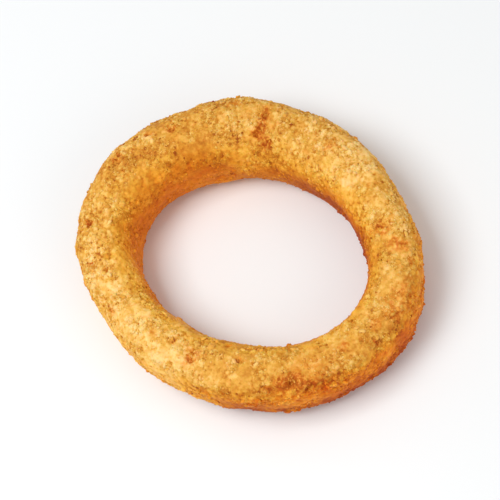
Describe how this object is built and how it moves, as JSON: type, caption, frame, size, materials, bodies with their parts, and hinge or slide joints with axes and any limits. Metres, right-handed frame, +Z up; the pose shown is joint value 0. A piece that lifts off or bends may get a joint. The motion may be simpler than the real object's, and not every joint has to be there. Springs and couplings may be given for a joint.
{
  "type": "fried onion ring",
  "caption": "Battered and fried onion ring lying flat: an uneven oval ring with a rounded, crumbly golden crust round a wide open hole.",
  "frame": {"origin": "on the surface that the ring lies on, under the middle of the ring's box", "axes": "+Z up through the hole, +Y along the ring's longer way, +X along its shorter way"},
  "size_m": [0.0678, 0.08, 0.0177],
  "materials": {
    "crust": "crisp, crumbly fried batter: mottled pale gold to golden brown, a little oily, with darker walls and specks"
  },
  "bodies": {
    "root": {"onion_ring": "crust"}
  },
  "joints": []
}
